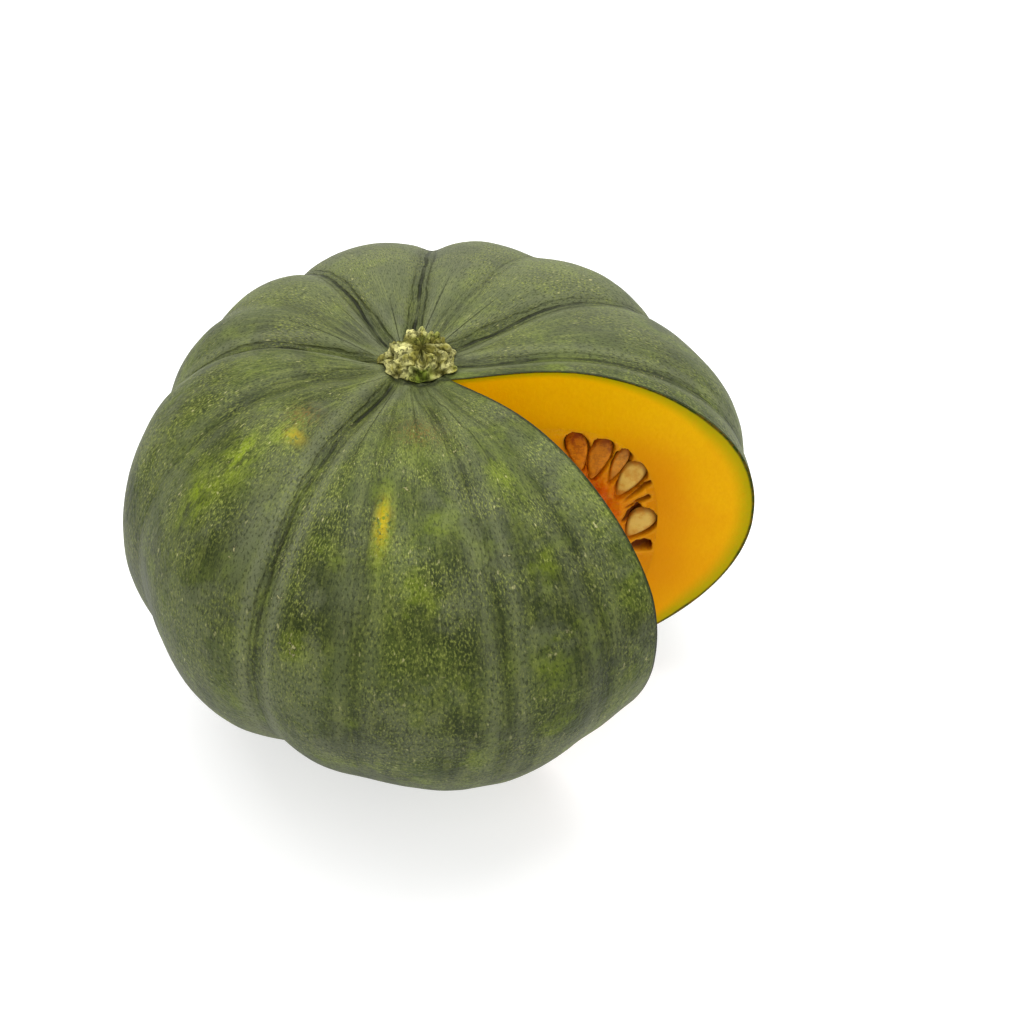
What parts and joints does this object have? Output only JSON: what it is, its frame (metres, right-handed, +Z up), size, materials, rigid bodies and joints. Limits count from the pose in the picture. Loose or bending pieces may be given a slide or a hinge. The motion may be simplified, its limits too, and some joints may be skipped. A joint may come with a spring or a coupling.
{
  "type": "kabocha squash with one wedge cut out",
  "caption": "Flattened, ribbed winter squash with a corky stem stub and one wedge cut out, showing thick flesh and a seed cavity with strips of pulp and seeds",
  "frame": {"origin": "on the surface that the squash rests on, under the middle of its outline", "axes": "+Z up along the core line from blossom end to stem, +X towards the back cut face, +Y away from the side that shows the notch's outer end"},
  "size_m": [0.1684, 0.1836, 0.1107],
  "materials": {
    "rind_and_flesh": "waxy green rind outside, moist orange-yellow flesh on the cut faces",
    "cork": "rough cork",
    "pulp_and_seeds": "moist, slightly glossy"
  },
  "bodies": {
    "root": {"fruit": "rind_and_flesh", "stem": "cork", "pulp_with_seeds_1": "pulp_and_seeds", "pulp_with_seeds_2": "pulp_and_seeds", "pulp_with_seeds_3": "pulp_and_seeds", "pulp_with_seeds_4": "pulp_and_seeds", "pulp_with_seeds_5": "pulp_and_seeds", "pulp_with_seeds_6": "pulp_and_seeds"}
  },
  "joints": []
}
